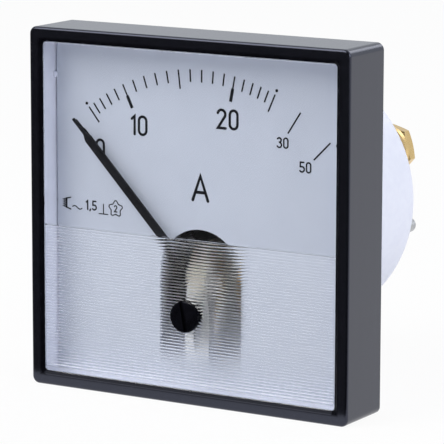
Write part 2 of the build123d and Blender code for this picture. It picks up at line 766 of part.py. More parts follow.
# Rear bearing: headless screw in the rear bridge, with the same cup
rear_bearing_y = rear_bearing_front_y + rear_bearing_length
with BuildPart() as rear_bearing:
    turned([(0, rear_bearing_front_y + bearing_cup_depth),
            (cup_radius, rear_bearing_front_y + bearing_cup_depth),
            (cup_radius, rear_bearing_front_y), (bearing_radius, rear_bearing_front_y),
            (bearing_radius, rear_bearing_y), (0, rear_bearing_y)])
    with BuildSketch(across(rear_bearing_y)):
        with Locations((0, pivot_z)):
            Rectangle(2 * bearing_radius, bearing_slot_width)
    extrude(amount=bearing_slot_depth, mode=Mode.SUBTRACT)
rear_bearing.part.label = "rear_bearing"
export_step(rear_bearing.part, "parts/rear_bearing.step")

# Base: round plate in the barrel's mouth with the damper's air chamber and two pillars
base_radius = barrel_bore - base_gap
chamber_rim = chamber_outer_radius + chamber_wall
with BuildPart() as movement_base:
    step(base_radius, base_front_y, base_rear_y)
    curved_plate(chamber_outer_radius, chamber_rim, -chamber_half_angle, chamber_half_angle,
                 chamber_front_y, base_front_y)
    curved_plate(chamber_inner_radius, chamber_inner_radius + chamber_wall, -chamber_half_angle,
                 chamber_half_angle, base_front_y - chamber_sill, base_front_y)
    for side in (-1, 1):
        radial_bar(chamber_inner_radius, chamber_rim, chamber_wall, side * chamber_half_angle,
                   chamber_front_y, base_front_y)
        step(pillar_radius, base_rear_y, bobbin_rear_y, (side * pillar_offset, pivot_z))
        step(screw_pilot_radius, bobbin_rear_y - screw_pilot_depth, bobbin_rear_y,
             (side * pillar_offset, pivot_z), Mode.SUBTRACT)
        foot_hole = (side * foot_screw_x, foot_screw_z)
        step(screw_pilot_radius, base_front_y, base_rear_y, foot_hole, Mode.SUBTRACT)
    step(bobbin_bore, base_front_y, base_rear_y, (0, pivot_z), Mode.SUBTRACT)
    with BuildSketch(across(base_rear_y)):
        for angle in base_boss_angles:
            with PolarLocations(base_boss_circle, 1, start_angle=angle):
                Circle(base_screw_radius)
    extrude(amount=base_thickness, mode=Mode.SUBTRACT)
movement_base.part.label = "movement_base"
export_step(movement_base.part, "parts/movement_base.step")

# Damping cover: closes the air chamber, with a ridge that narrows the arm's slot
with BuildPart() as damping_cover:
    curved_plate(chamber_inner_radius, chamber_rim, -chamber_half_angle, chamber_half_angle,
                 chamber_front_y - cover_thickness, chamber_front_y)
    ridge_half_angle = chamber_half_angle - cover_ridge_margin_angle
    curved_plate(chamber_inner_radius, chamber_inner_radius + chamber_wall, -ridge_half_angle,
                 ridge_half_angle, chamber_front_y, chamber_front_y + cover_ridge)
damping_cover.part.label = "damping_cover"
export_step(damping_cover.part, "parts/damping_cover.step")

# Bobbin: moulded tube with two flanges, round the vanes
with BuildPart() as coil_bobbin:
    turned([(bobbin_bore, base_rear_y), (bobbin_flange_radius, base_rear_y),
            (bobbin_flange_radius, coil_front_y), (coil_inner_radius, coil_front_y),
            (coil_inner_radius, coil_rear_y), (bobbin_flange_radius, coil_rear_y),
            (bobbin_flange_radius, bobbin_rear_y), (bobbin_bore, bobbin_rear_y)])
coil_bobbin.part.label = "coil_bobbin"
export_step(coil_bobbin.part, "parts/coil_bobbin.step")

# Winding: heavy strip wound on edge, its two ends led back to the terminal studs
with BuildPart() as coil_winding:
    comb = [(coil_inner_radius, coil_front_y), (coil_radius, coil_front_y)]
    for turn_number in range(1, coil_turns):
        groove_y = coil_front_y + turn_number * coil_pitch
        comb.append((coil_radius, groove_y - coil_groove / 2))
        comb.append((coil_radius - coil_groove_depth, groove_y))
        comb.append((coil_radius, groove_y + coil_groove / 2))
    comb.append((coil_radius, coil_rear_y))
    comb.append((coil_inner_radius, coil_rear_y))
    turned(comb)
    tail_x = coil_radius - coil_tail_width / 2
    tail_starts = ((1, coil_front_y), (-1, coil_rear_y - coil_strip))
    for side, start_y in tail_starts:
        with BuildSketch(across(start_y + coil_strip)):
            with Locations((side * tail_x, (pivot_z + coil_tail_top_z) / 2)):
                Rectangle(coil_tail_width, coil_tail_top_z - pivot_z)
        extrude(amount=coil_strip)
        with BuildSketch(across(barrel_inside_y)):
            with Locations((side * tail_x, coil_tail_top_z - coil_strip / 2)):
                Rectangle(coil_tail_width, coil_strip)
        extrude(amount=barrel_inside_y - start_y)
        with BuildSketch(across(barrel_inside_y)):
            with Locations((side * tail_x, coil_tail_top_z - coil_strip / 2)):
                Rectangle(coil_tail_width, coil_strip)
            with Locations((side * terminal_x, terminal_z)):
                Circle(eye_radius)
            make_hull()
        extrude(amount=coil_strip)
        step(terminal_radius + terminal_hole_gap, eye_front_y, barrel_inside_y,
             (side * terminal_x, terminal_z), Mode.SUBTRACT)
    step(coil_inner_radius, coil_front_y, coil_rear_y, (0, pivot_z), Mode.SUBTRACT)
coil_winding.part.label = "coil_winding"
export_step(coil_winding.part, "parts/coil_winding.step")

# Fixed vane: tapered soft iron tongue against the bobbin's bore
fixed_rim = bobbin_bore - running_gap
fixed_start = vane_angle - moving_vane_arc / 2
with BuildPart() as fixed_vane:
    curved_plate(fixed_rim - fixed_vane_sheet, fixed_rim, fixed_start, fixed_start + fixed_vane_arc,
                 coil_front_y, coil_rear_y)
    with BuildSketch(outward(fixed_start + fixed_vane_arc / 2, 0, 0)):
        with BuildLine():
            Polyline((-fixed_rim, coil_rear_y), (fixed_rim, coil_rear_y),
                     (fixed_rim, coil_front_y + fixed_vane_tip_length), close=True)
        make_face()
    extrude(amount=2 * fixed_rim, mode=Mode.SUBTRACT)
fixed_vane.part.label = "fixed_vane"
export_step(fixed_vane.part, "parts/fixed_vane.step")

# Rear bridge: strip across the coil that carries the rear bearing
with BuildPart() as rear_bridge:
    with BuildSketch(across(rear_bridge_y)):
        with Locations((0, pivot_z)):
            SlotCenterToCenter(2 * pillar_offset, rear_bridge_width)
            Circle(bearing_radius, mode=Mode.SUBTRACT)
            with GridLocations(2 * pillar_offset, 0, 2, 1):
                Circle(small_screw_radius, mode=Mode.SUBTRACT)
    extrude(amount=rear_bridge_sheet)
rear_bridge.part.label = "rear_bridge"
export_step(rear_bridge.part, "parts/rear_bridge.step")

# Small screws: two in the front bridge's foot and two in the rear bridge
with BuildPart() as bridge_screws:
    foot_face_y = base_front_y - bridge_sheet
    for side in (-1, 1):
        front_place = (side * foot_screw_x, foot_screw_z)
        rear_place = (side * pillar_offset, pivot_z)
        step(small_screw_head_radius, foot_face_y - small_screw_head_height, foot_face_y, front_place)
        step(screw_pilot_radius, foot_face_y, base_rear_y, front_place)
        step(small_screw_head_radius, rear_bridge_y, rear_bridge_y + small_screw_head_height, rear_place)
        step(screw_pilot_radius, rear_bridge_y - small_screw_length, rear_bridge_y, rear_place)
bridge_screws.part.label = "bridge_screws"
export_step(bridge_screws.part, "parts/bridge_screws.step")

# Base screws: hold the base on the barrel's bosses
with BuildPart() as base_screws:
    for angle in base_boss_angles:
        place = (base_boss_circle * cos(radians(angle)), base_boss_circle * sin(radians(angle)))
        step(base_screw_head_radius, base_front_y - base_screw_head_height, base_front_y, place)
        step(base_boss_pilot, base_front_y, base_front_y + base_screw_length, place)
base_screws.part.label = "base_screws"
export_step(base_screws.part, "parts/base_screws.step")

# Terminals: brass studs through the rear wall, each with a washer and a hexagon nut
stud_end_y = barrel_length + terminal_reach
with BuildPart() as terminal_studs:
    for side in (-1, 1):
        place = (side * terminal_x, terminal_z)
        step(terminal_flange_radius, eye_front_y - terminal_flange_height, eye_front_y, place)
        step(terminal_radius, eye_front_y, stud_end_y, place)
    chamfer(terminal_studs.faces().group_by(Axis.Y)[-1].edges(), length=terminal_chamfer)
terminal_studs.part.label = "terminal_studs"
export_step(terminal_studs.part, "parts/terminal_studs.step")

with BuildPart() as terminal_washers:
    for side in (-1, 1):
        place = (side * terminal_x, terminal_z)
        step(washer_radius, boss_rear_y, washer_rear_y, place)
        step(terminal_radius, boss_rear_y, washer_rear_y, place, Mode.SUBTRACT)
terminal_washers.part.label = "terminal_washers"
export_step(terminal_washers.part, "parts/terminal_washers.step")

nut_corner = nut_width / sqrt(3)
nut_flat = nut_width / 2 - nut_chamfer
nut_slope = (nut_corner - nut_flat) / sqrt(3)
with BuildPart() as terminal_nuts:
    for side in (-1, 1):
        place = (side * terminal_x, terminal_z)
        with BuildSketch(across(nut_rear_y)):
            with Locations(place):
                RegularPolygon(nut_width / 2, 6, major_radius=False, rotation=nut_turn)
        extrude(amount=nut_thickness)
        turned([(nut_flat, nut_rear_y), (2 * nut_corner - nut_flat, nut_rear_y),
                (2 * nut_corner - nut_flat, nut_rear_y - 2 * nut_slope)], place, Mode.SUBTRACT)
        turned([(nut_flat, washer_rear_y), (2 * nut_corner - nut_flat, washer_rear_y),
                (2 * nut_corner - nut_flat, washer_rear_y + 2 * nut_slope)], place, Mode.SUBTRACT)
        step(terminal_radius, washer_rear_y, nut_rear_y, place, Mode.SUBTRACT)
terminal_nuts.part.label = "terminal_nuts"
export_step(terminal_nuts.part, "parts/terminal_nuts.step")

# Fixing studs: steel, their thicker roots moulded into the rear wall, for the clamp behind the panel
with BuildPart() as fixing_studs:
    for side in (-1, 1):
        place = (side * fixing_x, fixing_z)
        step(fixing_root_radius, barrel_inside_y - fixing_root, barrel_length, place)
        step(fixing_radius, barrel_length, barrel_length + fixing_reach, place)
    chamfer(fixing_studs.faces().group_by(Axis.Y)[-1].edges(), length=fixing_chamfer)
fixing_studs.part.label = "fixing_studs"
export_step(fixing_studs.part, "parts/fixing_studs.step")
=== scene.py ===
import bmesh
import bpy
import json
from math import atan2, cos, hypot, pi, radians, sin
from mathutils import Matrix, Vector


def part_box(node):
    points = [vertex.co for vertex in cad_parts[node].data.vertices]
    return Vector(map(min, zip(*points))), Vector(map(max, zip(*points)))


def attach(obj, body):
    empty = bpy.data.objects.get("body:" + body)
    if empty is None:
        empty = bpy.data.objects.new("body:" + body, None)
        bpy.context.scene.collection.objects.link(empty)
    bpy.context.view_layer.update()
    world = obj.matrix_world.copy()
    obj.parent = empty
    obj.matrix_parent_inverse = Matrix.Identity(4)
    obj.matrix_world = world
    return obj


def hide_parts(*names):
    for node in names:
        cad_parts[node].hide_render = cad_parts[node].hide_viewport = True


# Analog panel meter: camera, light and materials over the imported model, the dial's lettering,
# the ribbed window, and the bow that closes the fork of the zero lever.
# Lengths are written in millimetres and turned into metres by MM.

MM = 0.001
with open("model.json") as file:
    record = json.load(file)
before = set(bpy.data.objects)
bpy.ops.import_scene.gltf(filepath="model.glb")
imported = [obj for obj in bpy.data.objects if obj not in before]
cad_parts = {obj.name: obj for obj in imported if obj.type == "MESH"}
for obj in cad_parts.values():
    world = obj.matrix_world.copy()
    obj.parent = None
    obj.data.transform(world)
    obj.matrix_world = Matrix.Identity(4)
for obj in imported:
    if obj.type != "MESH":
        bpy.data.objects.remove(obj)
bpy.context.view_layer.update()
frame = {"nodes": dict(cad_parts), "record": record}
nodes = frame["nodes"]
scene = bpy.context.scene
scene.view_settings.view_transform = "Standard"


# Node trees

def feed(tree, socket, value):
    """Sets a socket to a number, or links another socket to it."""
    if isinstance(value, (int, float)):
        socket.default_value = value
    else:
        tree.links.new(value, socket)


def maths(tree, operation, first, second=None):
    step = tree.nodes.new("ShaderNodeMath")
    step.operation = operation
    feed(tree, step.inputs[0], first)
    if second is not None:
        feed(tree, step.inputs[1], second)
    return step.outputs[0]


def mixed(tree, share, first, second):
    """Mix of two shaders; share is how much of the second one shows."""
    mix = tree.nodes.new("ShaderNodeMixShader")
    tree.links.new(share, mix.inputs["Fac"])
    tree.links.new(first, mix.inputs[1])
    tree.links.new(second, mix.inputs[2])
    return mix.outputs[0]


def remapped(tree, value, old, new):
    """Takes the value from the old span to the new one."""
    spread = tree.nodes.new("ShaderNodeMapRange")
    spread.inputs["From Min"].default_value, spread.inputs["From Max"].default_value = old
    spread.inputs["To Min"].default_value, spread.inputs["To Max"].default_value = new
    tree.links.new(value, spread.inputs["Value"])
    return spread.outputs["Result"]


def axes(tree, kind):
    """X, Y and Z of one kind of coordinates."""
    place = tree.nodes.new("ShaderNodeTexCoord")
    split = tree.nodes.new("ShaderNodeSeparateXYZ")
    tree.links.new(place.outputs[kind], split.inputs[0])
    return split.outputs


# Camera, fitted to the edges of the frame in the photo

CAMERA_PLACE = (307.839, -512.668, 107.588)
CAMERA_TURN = (1.38980, -0.00224, 0.54054)
CAMERA_LENS = 250.591
SENSOR_WIDTH = 36.0
CLIP_NEAR = 0.01
CLIP_FAR = 20.0


def fitted_camera():
    camera_data = bpy.data.cameras.new("camera")
    camera_data.lens = CAMERA_LENS
    camera_data.sensor_width = SENSOR_WIDTH
    camera_data.clip_start = CLIP_NEAR
    camera_data.clip_end = CLIP_FAR
    camera = bpy.data.objects.new("camera", camera_data)
    camera.location = [value * MM for value in CAMERA_PLACE]
    camera.rotation_euler = CAMERA_TURN
    bpy.context.collection.objects.link(camera)
    scene.camera = camera


fitted_camera()


# Light

SEEN_COLOUR = (1.0, 1.0, 1.0, 1.0)
SEEN_STRENGTH = 1.0
SOFT_COLOUR = (0.93, 0.96, 1.0, 1.0)
SOFT_STRENGTH = 0.45
MIRRORED_COLOUR = (0.90, 0.94, 1.0, 1.0)
FRONT_TO_REAR = (-0.55, 0.35)
MIRRORED_STRENGTH = (0.02, 0.86)

# Name, place, aim (in metres), width, height, watts and colour
SOFTBOXES = (
    ("key", (-0.34, -0.58, 0.66), (0, 0, 0), 0.66, 0.80, 6.1, (1.0, 0.99, 0.97)),
    ("right", (0.85, -0.15, 0.35), (0, 0, 0), 0.5, 0.5, 3.0, (0.95, 0.97, 1.0)),
    ("rear", (0.3, 0.7, 0.55), (0, 0.02, 0), 0.6, 0.4, 1.4, (0.97, 0.98, 1.0)),
)


def sky(tree, colour, strength):
    light = tree.nodes.new("ShaderNodeBackground")
    light.inputs["Color"].default_value = colour
    feed(tree, light.inputs["Strength"], strength)
    return light.outputs[0]


def background():
    """World: white where it is seen, soft and even as light, mirrored darker in front."""
    world = bpy.data.worlds.new("studio")
    scene.world = world
    world.use_nodes = True
    tree = world.node_tree
    tree.nodes.clear()
    out = tree.nodes.new("ShaderNodeOutputWorld")
    path = tree.nodes.new("ShaderNodeLightPath")
    strength = remapped(tree, axes(tree, "Generated")["Y"], FRONT_TO_REAR, MIRRORED_STRENGTH)
    mirrored = sky(tree, MIRRORED_COLOUR, strength)
    white = sky(tree, SEEN_COLOUR, SEEN_STRENGTH)
    soft = sky(tree, SOFT_COLOUR, SOFT_STRENGTH)
    indirect = mixed(tree, path.outputs["Is Glossy Ray"], soft, mirrored)
    direct = maths(tree, "MAXIMUM", path.outputs["Is Camera Ray"],
                   path.outputs["Is Transmission Ray"])
    tree.links.new(mixed(tree, direct, indirect, white), out.inputs["Surface"])


def softbox(name, place, aim, width, height, watts, colour):
    lamp = bpy.data.lights.new(name, "AREA")
    lamp.shape = "RECTANGLE"
    lamp.size = width
    lamp.size_y = height
    lamp.energy = watts
    lamp.color = colour
    thing = bpy.data.objects.new(name, lamp)
    thing.location = place
    thing.rotation_euler = (Vector(aim) - Vector(place)).to_track_quat("-Z", "Y").to_euler()
    bpy.context.collection.objects.link(thing)


background()
for box in SOFTBOXES:
    softbox(*box)


# Materials

NOISE_SPAN = (0.3, 0.7)
FINE_DETAIL = 2.0
ACRYLIC_COLOUR = (0.985, 0.99, 1.0, 1.0)
ACRYLIC_SHADE = (0.95, 0.955, 0.965, 1.0)
ACRYLIC_IOR = 1.49
HAZE_SPOTS = 0.25
HAZE_ROUGHNESS = (0.0, 0.02)
# Painted shade in the frame's mouth: where it begins and ends, and how much reflection shows
# inside and outside it; then the painted blue tint of the black plastic's reflections
MOUTH_EDGE = (33.7 * MM, 34.2 * MM)
MOUTH_SHADE_SPECULAR = (0.06, 0.5)
PAINTED_BLUE_REFLECTION = (0.70, 0.75, 1.0, 1.0)

# Two near colours, the smoothest and the roughest gloss, and what else differs from the rule
SURFACES = {
    "black_plastic": ((0.002, 0.002, 0.003), (0.004, 0.004, 0.006), 0.16, 0.25,
                      {"grain": 5.0, "depth": 0.006, "strength": 0.8, "ior": 1.72}),
    "white_plastic": ((0.80, 0.82, 0.94), (0.84, 0.86, 0.97), 0.34, 0.48,
                      {"grain": 3.0, "depth": 0.005}),
    "dial_enamel": ((0.575, 0.615, 0.71), (0.60, 0.64, 0.735), 0.45, 0.6,
                    {"spots": 0.12, "grain": 6.0, "depth": 0.002}),
    "dial_ink": ((0.004, 0.004, 0.007), (0.007, 0.008, 0.012), 0.5, 0.65,
                 {"grain": 9.0, "ior": 1.25}),
    "pointer_paint": ((0.003, 0.003, 0.005), (0.006, 0.006, 0.009), 0.45, 0.6,
                      {"grain": 7.0, "ior": 1.25}),
    "bright_steel": ((0.84, 0.85, 0.87), (0.90, 0.91, 0.92), 0.30, 0.42,
                     {"metal": 1.0, "grain": 5.0, "depth": 0.002, "stretch": (1, 1, 0.08)}),
    "soft_iron": ((0.34, 0.35, 0.37), (0.42, 0.43, 0.44), 0.35, 0.5, {"metal": 1.0}),
    "brass": ((0.72, 0.50, 0.20), (0.80, 0.58, 0.26), 0.20, 0.36,
              {"metal": 1.0, "grain": 4.0, "depth": 0.003, "stretch": (1, 0.15, 1)}),
    "spring_bronze": ((0.62, 0.42, 0.22), (0.70, 0.49, 0.27), 0.25, 0.38, {"metal": 1.0}),
    "copper": ((0.72, 0.33, 0.18), (0.80, 0.40, 0.23), 0.25, 0.4,
               {"metal": 1.0, "depth": 0.003}),
    "black_moulding": ((0.005, 0.005, 0.006), (0.009, 0.009, 0.010), 0.4, 0.55, {"ior": 1.35}),
    # Painted shade: the nylon bobbin and the aluminium vane get dark colours that stand for the
    # shade they lie in behind the dial.
    "bobbin_nylon": ((0.20, 0.185, 0.15), (0.26, 0.24, 0.20), 0.4, 0.55, {}),
    "vane_aluminium": ((0.16, 0.165, 0.17), (0.22, 0.225, 0.23), 0.4, 0.52,
                       {"metal": 1.0, "stretch": (1, 1, 0.1)}),
    "stud_brass": ((0.70, 0.48, 0.20), (0.78, 0.56, 0.26), 0.26, 0.38, {"metal": 1.0}),
    "stud_steel": ((0.50, 0.51, 0.53), (0.58, 0.59, 0.61), 0.26, 0.38, {"metal": 1.0}),
    "bearing_nickel": ((0.74, 0.70, 0.62), (0.82, 0.78, 0.70), 0.3, 0.45, {"metal": 1.0}),
}

# Pitch and depth of the screw threads
THREADS = {"stud_brass": (1.0, 0.18), "stud_steel": (0.5, 0.09)}
THREAD_STRENGTH = 1.0

# Nodes that don't wear the plain material of their slot
OWN_MATERIAL = {"terminal_studs": "stud_brass", "fixing_studs": "stud_steel",
                "front_bearing": "bearing_nickel"}


def new_material(name):
    material = bpy.data.materials.new(name)
    material.use_nodes = True
    tree = material.node_tree
    tree.nodes.clear()
    out = tree.nodes.new("ShaderNodeOutputMaterial")
    shader = tree.nodes.new("ShaderNodeBsdfPrincipled")
    tree.links.new(shader.outputs[0], out.inputs["Surface"])
    return material, tree, shader, out


def tree_and_shader(material):
    tree = material.node_tree
    return tree, next(node for node in tree.nodes if node.type == "BSDF_PRINCIPLED")


def noise(tree, scale, detail=3.0, stretch=(1, 1, 1)):
    """Noise over the piece's own coordinates; scale is the number of spots in a millimetre."""
    place = tree.nodes.new("ShaderNodeTexCoord")
    mapping = tree.nodes.new("ShaderNodeMapping")
    mapping.inputs["Scale"].default_value = [axis / MM for axis in stretch]
    tree.links.new(place.outputs["Object"], mapping.inputs["Vector"])
    pattern = tree.nodes.new("ShaderNodeTexNoise")
    pattern.inputs["Scale"].default_value = scale
    pattern.inputs["Detail"].default_value = detail
    tree.links.new(mapping.outputs[0], pattern.inputs["Vector"])
    return pattern.outputs["Fac"]


def tinted(tree, value, first, second):
    ramp = tree.nodes.new("ShaderNodeValToRGB")
    for stop, position, colour in zip(ramp.color_ramp.elements, NOISE_SPAN, (first, second)):
        stop.position = position
        stop.color = (*colour, 1.0)
    tree.links.new(value, ramp.inputs["Fac"])
    return ramp.outputs["Color"]


def bumped(tree, shader, value, depth, strength):
    bump = tree.nodes.new("ShaderNodeBump")
    bump.inputs["Strength"].default_value = strength
    bump.inputs["Distance"].default_value = depth * MM
    tree.links.new(value, bump.inputs["Height"])
    tree.links.new(bump.outputs[0], shader.inputs["Normal"])


def surface(name, first, second, smooth, rough, spots=0.6, grain=8.0, depth=0.004, strength=0.25,
            metal=0.0, stretch=(1, 1, 1), ior=1.5):
    """Opaque material: two near colours in soft spots, uneven gloss and a fine grain."""
    material, tree, shader, _ = new_material(name)
    broad = noise(tree, spots)
    tree.links.new(tinted(tree, broad, first, second), shader.inputs["Base Color"])
    fine = noise(tree, grain, FINE_DETAIL, stretch)
    tree.links.new(remapped(tree, fine, NOISE_SPAN, (smooth, rough)), shader.inputs["Roughness"])
    bumped(tree, shader, fine, depth, strength)
    shader.inputs["Metallic"].default_value = metal
    shader.inputs["IOR"].default_value = ior
    return material


def clear_plastic():
    """Clear moulded acrylic: lamps reach the dial through it."""
    material, tree, shader, out = new_material("clear_plastic")
    shader.inputs["Base Color"].default_value = ACRYLIC_COLOUR
    shader.inputs["Transmission Weight"].default_value = 1.0
    shader.inputs["IOR"].default_value = ACRYLIC_IOR
    haze = noise(tree, HAZE_SPOTS, FINE_DETAIL)
    tree.links.new(remapped(tree, haze, NOISE_SPAN, HAZE_ROUGHNESS), shader.inputs["Roughness"])
    path = tree.nodes.new("ShaderNodeLightPath")
    either = maths(tree, "MAXIMUM", path.outputs["Is Shadow Ray"], path.outputs["Is Diffuse Ray"])
    through = tree.nodes.new("ShaderNodeBsdfTransparent")
    through.inputs["Color"].default_value = ACRYLIC_SHADE
    tree.links.new(mixed(tree, either, shader.outputs[0], through.outputs[0]),
                   out.inputs["Surface"])
    return material


def paint_mouth_shade_and_blue_sheen(material):
    """Painted shade and painted reflection: turns the plastic's reflection down within the
    frame's mouth, where it lies in its own shade, and tints its reflections blue everywhere.
    """
    tree, shader = tree_and_shader(material)
    place = axes(tree, "Object")
    widest = maths(tree, "MAXIMUM", maths(tree, "ABSOLUTE", place["X"]),
                   maths(tree, "ABSOLUTE", place["Z"]))
    tree.links.new(remapped(tree, widest, MOUTH_EDGE, MOUTH_SHADE_SPECULAR),
                   shader.inputs["Specular IOR Level"])
    shader.inputs["Specular Tint"].default_value = PAINTED_BLUE_REFLECTION


def cut_thread(material, pitch, depth):
    """Fine grooves across a stud, one in each pitch, as its screw thread shows them."""
    tree, shader = tree_and_shader(material)
    turns = maths(tree, "MULTIPLY", axes(tree, "Object")["Y"], 2 * pi / (pitch * MM))
    bumped(tree, shader, maths(tree, "SINE", turns), depth, THREAD_STRENGTH)


materials = {"clear_plastic": clear_plastic()}
for name, (first, second, smooth, rough, others) in SURFACES.items():
    materials[name] = surface(name, first, second, smooth, rough, **others)
# Painted shade inside the frame's mouth and a painted blue tint in the black plastic's
# reflections
paint_mouth_shade_and_blue_sheen(materials["black_plastic"])
for name, (pitch, depth) in THREADS.items():
    cut_thread(materials[name], pitch, depth)

slot_of = {part["node"]: part["material_slot"] for part in frame["record"]["subparts"]}
for name, node in nodes.items():
    node.data.materials.clear()
    node.data.materials.append(materials[OWN_MATERIAL.get(name, slot_of[name])])


# Floor, and a card that is only mirrored

FLOOR_Z = -36.0
FLOOR_SIZE = 12.0
FLOOR_COLOURS = ((0.86, 0.86, 0.87), (0.88, 0.88, 0.89))
FLOOR_SPOTS = 0.01
FLOOR_ROUGHNESS = 0.9
FLOOR_GLOW = 0.93
CARD_PLACE = (-0.35, -0.818, -35.0 * MM)
CARD_SIZE = 1.6


def dark_card():
    """Black card lying in front: only what mirrors the space before the meter shows it."""
    bpy.ops.mesh.primitive_plane_add(size=CARD_SIZE, location=CARD_PLACE)
    card = bpy.context.object
    card.name = "dark_card"
    card.visible_camera = False
    card.visible_diffuse = False
    card.visible_shadow = False
    card.data.materials.append(materials["dial_ink"])


def pale_floor():
    """Floor under the meter, nearly white where it is seen or mirrored."""
    bpy.ops.mesh.primitive_plane_add(size=FLOOR_SIZE, location=(0, 0, FLOOR_Z * MM))
    floor = bpy.context.object
    floor.name = "floor"
    material, tree, shader, out = new_material("pale_floor")
    pattern = noise(tree, FLOOR_SPOTS, FINE_DETAIL)
    tree.links.new(tinted(tree, pattern, *FLOOR_COLOURS), shader.inputs["Base Color"])
    shader.inputs["Roughness"].default_value = FLOOR_ROUGHNESS
    glow = tree.nodes.new("ShaderNodeEmission")
    path = tree.nodes.new("ShaderNodeLightPath")
    seen = maths(tree, "MAXIMUM", path.outputs["Is Camera Ray"], path.outputs["Is Glossy Ray"])
    share = maths(tree, "MULTIPLY", seen, FLOOR_GLOW)
    tree.links.new(mixed(tree, share, shader.outputs[0], glow.outputs[0]), out.inputs["Surface"])
    floor.data.materials.append(material)


pale_floor()
dark_card()


# Dial lettering, drawn in strokes of thin ink on the front of the dial

DIAL_Y = -6.9
INK_DEPTH = 0.05
SHARPEST_MITRE = 0.45
CAP_STEPS = 6
LETTER_GAP = 0.26


def on_circle(x, z, radius, angle):
    return x + radius * cos(angle), z + radius * sin(angle)


def arc(x, z, radius, start, stop, steps=10):
    """Points on an arc, angles in degrees anticlockwise from the right."""
    return [on_circle(x, z, radius, radians(start + (stop - start) * k / steps))
            for k in range(steps + 1)]


def unit(a, b):
    length = hypot(b[0] - a[0], b[1] - a[1])
    return (b[0] - a[0]) / length, (b[1] - a[1]) / length


def stroke(work, points, width, closed=False):
    """Adds to work one line of even width along the points, in the dial's plane."""
    half = width / 2
    count = len(points)
    left, right = [], []
    for k, point in enumerate(points):
        before = points[k - 1] if closed or k > 0 else None
        after = points[(k + 1) % count] if closed or k < count - 1 else None
        first = unit(before, point) if before else unit(point, after)
        second = unit(point, after) if after else first
        across_x = -(first[1] + second[1])
        across_z = first[0] + second[0]
        size = hypot(across_x, across_z)
        across_x, across_z = across_x / size, across_z / size
        reach = half / max(SHARPEST_MITRE, across_x * -first[1] + across_z * first[0])
        left.append((point[0] + across_x * reach, point[1] + across_z * reach))
        right.append((point[0] - across_x * reach, point[1] - across_z * reach))
    for k in range(count if closed else count - 1):
        n = (k + 1) % count
        work.append([left[k], right[k], right[n], left[n]])
    if closed:
        return
    for end, near in ((0, 1), (count - 1, count - 2)):
        out_x, out_z = unit(points[near], points[end])
        turn = atan2(out_z, out_x)
        work.append([on_circle(*points[end], half, turn - pi / 2 + pi * k / CAP_STEPS)
                     for k in range(CAP_STEPS + 1)])


# Strokes of each sign at a height of one, and whether they close; then the signs' widths
SIGNS = {
    "0": [(arc(0.24, 0.76, 0.24, 180, 0) + arc(0.24, 0.24, 0.24, 0, -180), True)],
    "1": [([(0.02, 0.84), (0.20, 1.0), (0.20, 0.0)], False)],
    "2": [(arc(0.24, 0.75, 0.24, 165, -25) + [(0.02, 0.0), (0.50, 0.0)], False)],
    "3": [(arc(0.23, 0.765, 0.225, 150, -80) + arc(0.23, 0.265, 0.26, 80, -150), False)],
    "5": [([(0.45, 1.0), (0.06, 1.0), (0.04, 0.54)] + arc(0.23, 0.29, 0.275, 115, -145), False)],
    "A": [([(0.0, 0.0), (0.36, 1.0), (0.72, 0.0)], False), ([(0.13, 0.33), (0.59, 0.33)], False)],
    ",": [([(0.10, 0.06), (0.02, -0.13)], False)],
}
ADVANCE = {"0": 0.48, "1": 0.22, "2": 0.50, "3": 0.49, "5": 0.50, "A": 0.72, ",": 0.12}

# Text, x and z of its middle, height over the strokes, and width of the strokes
NUMBERS = (
    ("0", -23.13, 11.84, 4.1, 0.52),
    ("10", -14.06, 17.20, 4.1, 0.52),
    ("20", 6.14, 19.98, 4.1, 0.52),
    ("30", 18.37, 16.42, 2.2, 0.30),
    ("50", 23.37, 12.09, 2.2, 0.30),
    ("A", 0.04, 5.96, 5.4, 0.62),
)
ACCURACY = ("1,5", -25.34, 0.25, 2.05, 0.3)
TEST_VOLTAGE = ("2", -19.56, 0.10, 1.45, 0.22)

THIN_LINE = 0.2
COIL_LINE = 0.24
COIL_END_X = -30.2
COIL_OUTER_X = -32.0
COIL_INNER_X = -31.25
COIL_TOP = 1.45
COIL_FOOT = -0.95
COIL_OUTER_Z = 0.95
COIL_INNER_Z = 0.73
COIL_TURNS = 4
COIL_PITCH = 0.44
BAR_LINE = 0.34
BAR_X = -31.2
BAR_TOP = 1.2
BAR_FOOT = -0.65
WAVE_X = -29.75
WAVE_Z = -0.45
WAVE_STEP = 0.11
WAVE_HEIGHT = 0.30
WAVE_ANGLES = range(20, 341, 16)
UPRIGHT_X = -22.44
UPRIGHT_TOP = 0.75
UPRIGHT_FOOT = -1.22
UPRIGHT_LEFT = -23.5
UPRIGHT_RIGHT = -21.4
STAR_X = -19.56
STAR_Z = 0.10
STAR_TIP = 1.62
STAR_NOTCH = 1.10
STAR_BLUNT = (-7, 0, 7)
STAR_TURN = 72


def lettering(work, text, x, z, height, line):
    """Words of the dial, centred at x, z. height is over the strokes, line is their width."""
    size = height - line
    total = sum(ADVANCE[letter] for letter in text) * size + LETTER_GAP * size * (len(text) - 1)
    pen = x - total / 2
    for letter in text:
        for points, closed in SIGNS[letter]:
            place = [(pen + u * size, z - size / 2 + v * size) for u, v in points]
            stroke(work, place, line, closed)
        pen += ADVANCE[letter] * size + LETTER_GAP * size


def iron_mark(work):
    """Mark of the moving iron: a small coil with a straight iron bar in it."""
    coil = [(COIL_END_X, COIL_TOP), (BAR_X, BAR_TOP)]
    for turn in range(COIL_TURNS):
        coil.append((COIL_OUTER_X, COIL_OUTER_Z - COIL_PITCH * turn))
        coil.append((COIL_INNER_X, COIL_INNER_Z - COIL_PITCH * turn))
    coil.append((COIL_END_X, COIL_FOOT))
    stroke(work, coil, COIL_LINE)
    stroke(work, [(BAR_X, BAR_TOP), (BAR_X, BAR_FOOT)], BAR_LINE)


def wave_mark(work):
    """Mark of alternating current: a short wave."""
    stroke(work, [(WAVE_X + WAVE_STEP * k, WAVE_Z + WAVE_HEIGHT * sin(radians(angle)))
                  for k, angle in enumerate(WAVE_ANGLES)], THIN_LINE)


